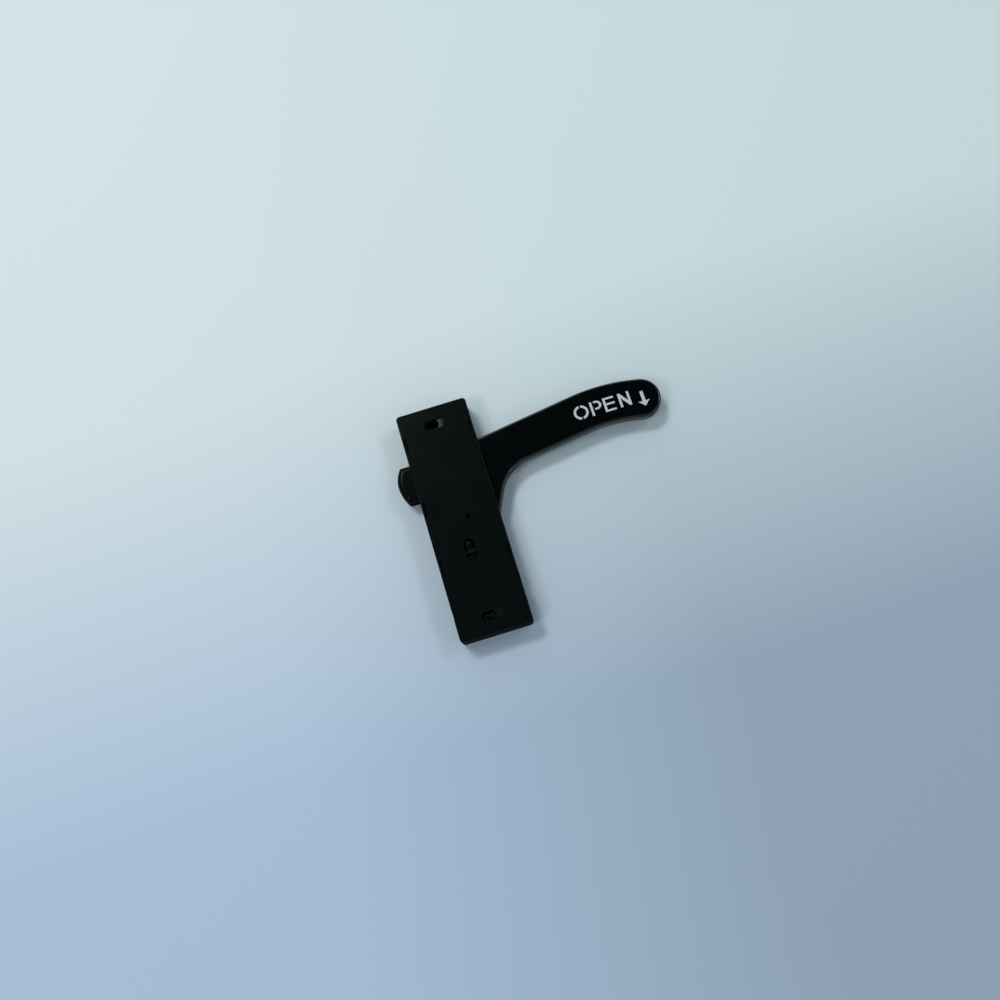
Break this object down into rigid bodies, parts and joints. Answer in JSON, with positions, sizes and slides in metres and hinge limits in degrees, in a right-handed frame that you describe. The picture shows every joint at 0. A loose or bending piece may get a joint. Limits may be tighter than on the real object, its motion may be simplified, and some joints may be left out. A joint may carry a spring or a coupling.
{
  "type": "screen door latch",
  "caption": "Right-hand screen door latch: flat rectangular snap-together case, curved side handle marked OPEN with a down arrow, and a spring-loaded round-nosed bolt.",
  "frame": {"origin": "centre of the case's flat back face, which lies against the door frame and here on the table", "axes": "+Z out of the front cover, +X along the handle away from the bolt, +Y up when the latch is on its door"},
  "size_m": [0.134, 0.1134, 0.0127],
  "materials": {
    "case_plastic": "matte",
    "cover_plastic": "matte",
    "handle_plastic": "gloss",
    "bolt_plastic": "gloss",
    "pin_steel": "satin",
    "spring_steel": "satin",
    "print_ink": "matte"
  },
  "bodies": {
    "case": {"rear_case": "case_plastic", "front_cover": "cover_plastic", "pivot_pin": "pin_steel", "push_nut": "spring_steel", "bolt_spring": "spring_steel", "lever_spring": "spring_steel"},
    "handle": {"handle_lever": "handle_plastic"},
    "bolt": {"latch_bolt": "bolt_plastic"}
  },
  "joints": [
    {"name": "handle_pivot", "type": "hinge", "parent": "case", "child": "handle", "pos_m": [-0.0009, -0.013, 0.0078], "axis": [0, 0, -1], "range_deg": [0, 12.5], "stiffness_Nm_per_rad": 0.18, "springref_deg": -16.04, "deforming": ["lever_spring"]},
    {"name": "bolt_slide", "type": "slide", "parent": "case", "child": "bolt", "axis": [1, 0, 0], "range_m": [0, 0.008], "stiffness_N_per_m": 150, "springref_m": -0.012, "deforming": ["bolt_spring"]}
  ],
  "couplings": [
    {"joint": "bolt_slide", "follows": "handle_pivot", "m_per_rad": 0.036527}
  ]
}
